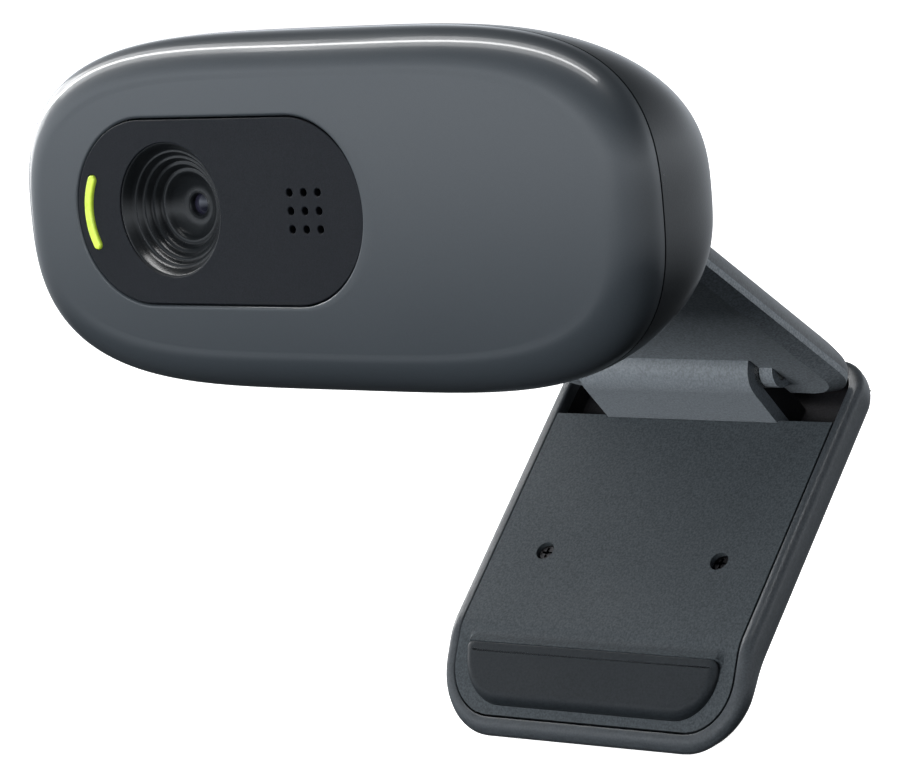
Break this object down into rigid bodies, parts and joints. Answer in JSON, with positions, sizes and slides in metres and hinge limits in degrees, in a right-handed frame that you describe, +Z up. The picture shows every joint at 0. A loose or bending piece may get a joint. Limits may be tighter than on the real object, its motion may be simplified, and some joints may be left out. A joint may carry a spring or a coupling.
{
  "type": "webcam",
  "caption": "clip-on webcam with an oval head that tilts on a flat arm and a folding leg with a rubber toe pad",
  "frame": {"origin": "centre of the arm's flat underside, which rests on the top edge of a monitor", "axes": "+X across the webcam, to the right when facing its lens; +Y backwards, away from the lens; +Z up. The head is upright and the arm falls backwards by 33.2 degrees."},
  "size_m": [0.073, 0.0624, 0.0728],
  "materials": {
    "gloss_shell": "glossy slate grey with a faint mottle",
    "dark_shell": "satin near-black plastic",
    "insert_black": "fine matte near-black",
    "hood_black": "satin black rings",
    "barrel_black": "satin black",
    "lens_glass": "coated glass",
    "inner_plastic": "moulded black plastic",
    "chip_black": "matte epoxy",
    "light_green": "clear yellow-green",
    "board_green": "solder mask",
    "soft_rubber": "smooth dark rubber",
    "pin_steel": "drawn steel",
    "screw_steel": "blackened steel",
    "arm_grey": "fine grain",
    "arm_top_grey": "fine grain",
    "leg_grey": "fine grain with polished edges",
    "panel_grey": "fine grain",
    "tongue_grey": "coarse grain"
  },
  "bodies": {
    "arm": {"arm_frame": "arm_grey", "arm_cover": "arm_top_grey", "arm_screws": "screw_steel"},
    "head": {"front_shell": "gloss_shell", "rear_shell": "dark_shell", "face_insert": "insert_black", "lens_hood": "hood_black", "lens_barrel": "barrel_black", "front_lens": "lens_glass", "lens_holder": "inner_plastic", "ir_filter": "lens_glass", "image_sensor": "chip_black", "led_light_pipe": "light_green", "status_led": "light_green", "microphone_capsule": "pin_steel", "microphone_boot": "soft_rubber", "main_board": "board_green", "controller_chip": "chip_black", "memory_chip": "chip_black", "clock_crystal": "pin_steel", "cable_socket": "inner_plastic", "board_capacitors": "inner_plastic", "shell_screws": "screw_steel", "cable_grommet": "soft_rubber", "tilt_yoke": "pin_steel", "yoke_screws": "screw_steel", "tilt_pin": "pin_steel", "tilt_pin_clip": "pin_steel", "tilt_washers": "inner_plastic"},
    "leg": {"leg_shell": "leg_grey", "leg_panel": "panel_grey", "hinge_tongue": "tongue_grey", "hinge_core": "inner_plastic", "toe_pad": "soft_rubber", "fold_pin": "pin_steel", "fold_washers": "pin_steel", "leg_screws": "screw_steel"}
  },
  "joints": [
    {"name": "head_tilt", "type": "hinge", "parent": "arm", "child": "head", "pos_m": [0, -0.02178, 0.01492], "axis": [1, 0, 0], "range_deg": [-45, 8]},
    {"name": "leg_fold", "type": "hinge", "parent": "arm", "child": "leg", "pos_m": [0, 0.01704, -0.01048], "axis": [1, 0, 0], "range_deg": [-62, 34]}
  ]
}
